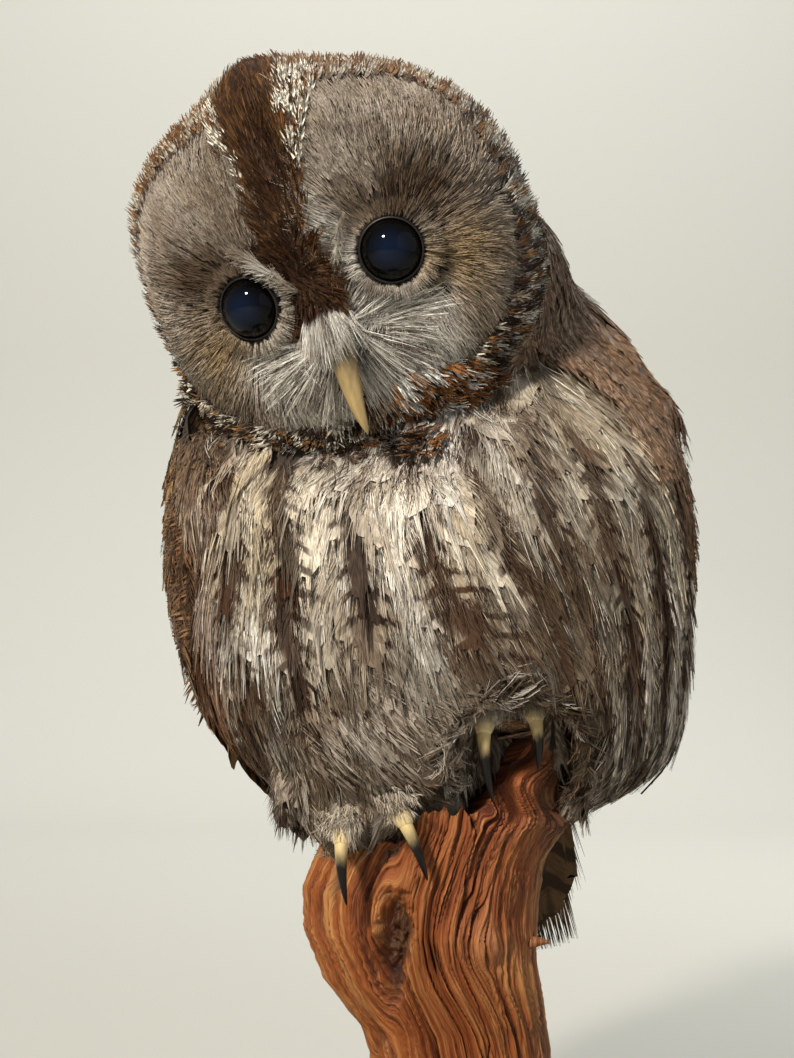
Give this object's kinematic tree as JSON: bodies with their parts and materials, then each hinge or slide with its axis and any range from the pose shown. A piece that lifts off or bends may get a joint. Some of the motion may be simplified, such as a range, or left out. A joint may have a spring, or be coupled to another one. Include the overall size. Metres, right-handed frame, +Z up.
{
  "type": "mounted tawny owl",
  "caption": "Life-size taxidermy tawny owl with its head turned and tilted, standing on an upright root wood mount that rises from a plain round plinth.",
  "frame": {"origin": "centre of the plinth's underside, on the surface it stands on", "axes": "+Z up; the owl's breast faces -Y and its right side is towards -X"},
  "size_m": [0.196, 0.252, 0.3849],
  "materials": {
    "face_plumage": "matte",
    "body_plumage": "matte",
    "flight_plumage": "matte",
    "foot_plumage": "matte",
    "eye_glass": "gloss",
    "bill_horn": "satin",
    "claw_horn": "satin",
    "root_wood": "satin",
    "plinth_wood": "satin"
  },
  "bodies": {
    "root": {"head": "face_plumage", "eye_right": "eye_glass", "eye_left": "eye_glass", "bill": "bill_horn", "neck": "body_plumage", "trunk": "body_plumage", "wing_right": "flight_plumage", "wing_left": "flight_plumage", "tail": "flight_plumage", "leg_right": "body_plumage", "leg_left": "body_plumage", "foot_right": "foot_plumage", "foot_left": "foot_plumage", "claw_right_inner": "claw_horn", "claw_right_middle": "claw_horn", "claw_left_inner": "claw_horn", "claw_left_middle": "claw_horn", "root_wood": "root_wood", "stand_base": "plinth_wood"}
  },
  "joints": []
}
